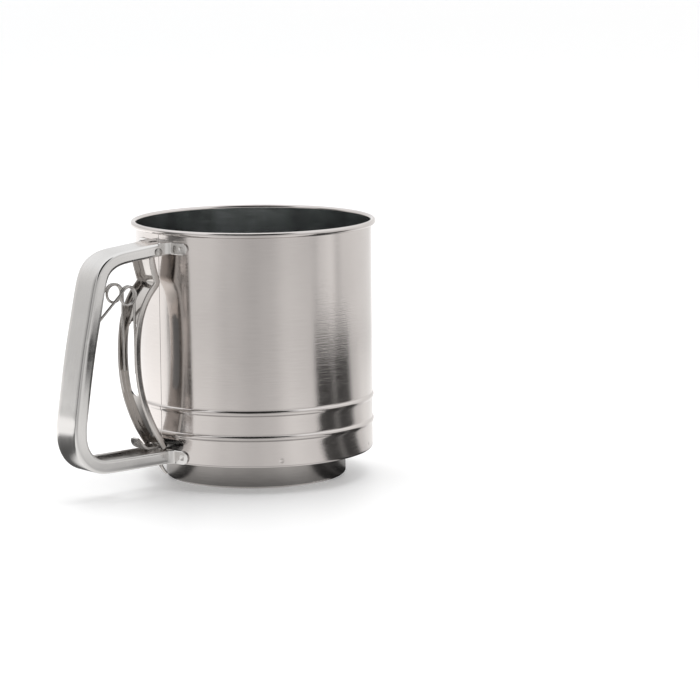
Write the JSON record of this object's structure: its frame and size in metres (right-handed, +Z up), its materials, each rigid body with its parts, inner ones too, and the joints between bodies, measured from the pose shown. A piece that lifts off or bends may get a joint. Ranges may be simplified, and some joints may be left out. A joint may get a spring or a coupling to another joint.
{
  "type": "flour sifter",
  "caption": "Hand-squeezed sheet-steel flour sifter: cup with two wire screens, agitators on a spindle, and a bail handle with a sprung trigger.",
  "frame": {"origin": "centre of the foot ring's resting plane, on the cup's axis", "axes": "+Z up along the cup's axis; the handle is on the -X side; the handle's mid-plane is Y = 0"},
  "size_m": [0.157, 0.108, 0.1134],
  "materials": {
    "polished_steel": "mirror-polished stainless sheet with fine horizontal polishing lines",
    "satin_steel": "satin stainless steel",
    "pressed_steel": "pressed stainless sheet, lightly polished, with die marks",
    "screen_wire": "woven stainless wire",
    "spring_wire": "bright drawn spring wire"
  },
  "bodies": {
    "frame": {"cup_body": "polished_steel", "foot_ring": "satin_steel", "handle": "polished_steel", "trigger_pivot_pin": "satin_steel", "upper_screen_hoop": "satin_steel", "lower_screen_hoop": "satin_steel", "upper_screen": "screen_wire", "lower_screen": "screen_wire", "upper_screen_eyelet": "satin_steel", "lower_screen_eyelet": "satin_steel"},
    "trigger": {"trigger": "polished_steel", "return_spring": "spring_wire"},
    "rotor": {"spindle": "pressed_steel", "agitator_spacer": "satin_steel", "spindle_collar": "satin_steel", "upper_agitator": "pressed_steel", "lower_agitator": "pressed_steel", "crank_arm": "pressed_steel", "crank_rivet": "satin_steel", "crank_rivet_washer": "satin_steel"},
    "link": {"drive_link": "pressed_steel"}
  },
  "joints": [
    {"name": "trigger_squeeze", "type": "hinge", "parent": "frame", "child": "trigger", "pos_m": [-0.0578, 0, 0.1043], "axis": [0, 1, 0], "range_deg": [0, 15], "deforming": ["return_spring"]},
    {"name": "rotor_turn", "type": "hinge", "parent": "frame", "child": "rotor", "pos_m": [0, 0, 0.03], "axis": [0, 0, -1], "range_deg": [0, 56.7]},
    {"name": "link_swing", "type": "hinge", "parent": "rotor", "child": "link", "pos_m": [0.0114, -0.02112, 0.0185], "axis": [0, 0, 1], "range_deg": [0, 56.7]}
  ],
  "couplings": [
    {"joint": "rotor_turn", "follows": "trigger_squeeze", "ratio": 3.78},
    {"joint": "link_swing", "follows": "trigger_squeeze", "ratio": 3.78}
  ]
}
